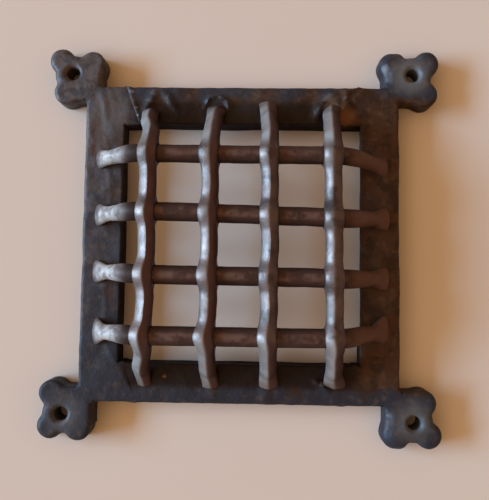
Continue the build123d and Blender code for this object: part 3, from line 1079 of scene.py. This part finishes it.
cross_iron = iron(
    "cross_iron",
    black=(0.044, 0.018, 0.014),
    brown=(0.054, 0.020, 0.012),
    rust_dust=0.12,
    metal=0.30,
    sheen=0.62,
    grain_depth=0.10,
    glint=0.3,
    layers=[
        # painted highlight along the top, painted shade below, at the left neck and on the right legs
        (painted_cross_light, cross_height, (0.122, 0.064, 0.050)),
        # painted highlight on the cross bars' left legs
        (rubbed_and_highlit, (0.42, 0.38, 0.37), (-54, -66), (-99, -98), 0.45, 0.2),
    ],
)
# each cross bar's own half width, its feet's half width, and how far they kick out
cross_half = [4.5, 4.7, 4.75, 4.8]
cross_feet = [5.0, 5.8, 6.0, 7.0]
cross_toes = [(4.6, 5.0), (4.6, 6.0), (4.9, 5.5), (3.9, 5.0)]
for n, sway in enumerate(cross_sway):
    knots = [(place, cross_y[n] + off) for place, off in sway]
    sizes = {
        "Seed": 30.0 + 3 * n,
        "Left Tenon": tenon_y[-1][n],
        "Right Tenon": tenon_y[1][n],
        "Half Width": cross_half[n],
        "Foot Half Width": cross_feet[n],
        "Iron": cross_iron,
    }
    name, path = f"cross_{n + 1}_forged", (cross_reach, leg_run, cross_height)
    line = staple(f"cross_{n + 1}_line", *path, cross_toes[n], knots, True)
    forge(name, line, cross_tree, sizes, f"cross_bar_{n + 1}")


# Floor: the plain pale top that the grille lies on, a round so wide that its edge stays far
# off. It is dull, so that no lamp shines in it.
floor_radius, floor_sides = 2.4, 96
ground = bpy.data.meshes.new("floor")
turns = [n * math.tau / floor_sides for n in range(floor_sides)]
rim = [(floor_radius * math.cos(t), floor_radius * math.sin(t), 0) for t in turns]
ground.from_pydata(rim, [], [range(floor_sides)])
floor = bpy.data.objects.new("floor", ground)
bpy.context.scene.collection.objects.link(floor)
pale = bpy.data.materials.new("pale_top")
pale.use_nodes = True
pale_shader = pale.node_tree.nodes["Principled BSDF"]
pale_shader.inputs["Base Color"].default_value = (0.575, 0.48, 0.435, 1)
pale_shader.inputs["Roughness"].default_value = 0.9
pale_shader.inputs["Specular IOR Level"].default_value = 0.2
ground.materials.append(pale)


# Light: one broad cool lamp low on the left, as from a wide window across the room. It is far
# off and large, so that it lights the whole floor evenly.
window_lift, window_away = math.radians(20.5), 9.0
window = bpy.data.lights.new("window", "AREA")
window.shape, window.size, window.size_y = "RECTANGLE", 5.7, 2.1
window.energy, window.color = 1800.0, (0.38, 0.67, 0.95)
holder = bpy.data.objects.new("window", window)
level, raised = window_away * math.cos(window_lift), window_away * math.sin(window_lift)
holder.location = (-level, 0.3, raised)
holder.rotation_euler = (-holder.location).to_track_quat("-Z", "Y").to_euler()
bpy.context.scene.collection.objects.link(holder)

# Sky: a warm glow all round, brightest halfway up, dimmer overhead and on the right. Low down
# it is a plain pale wall to whoever looks at it, straight or in the iron.
sky = bpy.data.worlds.new("sky")
sky.use_nodes = True
tree = sky.node_tree
toward = lay(tree, "ShaderNodeTexCoord").outputs["Generated"]
rightward, ahead, climb = apart(tree, toward)[:3]
glow = times(
    tree,
    fade(tree, climb, 0.0, 0.55, 0.14, 1.77),
    fade(tree, climb, 0.6, 0.96, 1.0, 0.30),
    fade(tree, rightward, -0.7, 0.7, 1.2, 0.55),
    fade(tree, reckon(tree, "ABSOLUTE", ahead), 0.25, 0.9, 1.0, 0.35),
)
to_right = fade(tree, rightward, -0.7, 0.7, 0.0, 1.0)
feeds = {0: to_right, 6: (1.0, 0.70, 0.40, 1), 7: (1.0, 0.56, 0.22, 1)}
warmth = lay(tree, "ShaderNodeMix", feeds, data_type="RGBA")
shell = tree.nodes["Background"]
tree.links.new(warmth.outputs[2], shell.inputs["Color"])
tree.links.new(glow, shell.inputs["Strength"])
wall = lay(tree, "ShaderNodeBackground", {"Color": (0.62, 0.56, 0.52, 1), "Strength": 1.0})
rays = lay(tree, "ShaderNodeLightPath").outputs
seen = reckon(tree, "MAXIMUM", rays["Is Camera Ray"], rays["Is Glossy Ray"])
seen = reckon(tree, "MAXIMUM", seen, rays["Is Transmission Ray"])
low_down = times(tree, seen, fade(tree, climb, 0.47, 0.6))
feeds = {0: low_down, 1: shell, 2: wall}
picked = lay(tree, "ShaderNodeMixShader", feeds)
tree.links.new(picked.outputs[0], tree.nodes["World Output"].inputs["Surface"])
bpy.context.scene.world = sky

# Camera: 27 cm above the grille's back, looking almost straight down with a slight turn and
# tilt.
eye_data = bpy.data.cameras.new("camera")
eye_data.lens, eye_data.sensor_width = 35.28, 36.0
camera = bpy.data.objects.new("camera", eye_data)
camera.location = (0.00823, -0.01846, 0.2685)
camera.rotation_euler = (0.05744, 0.02136, 0.01328)
bpy.context.scene.collection.objects.link(camera)
bpy.context.scene.camera = camera
bpy.context.scene.view_settings.view_transform = "Standard"
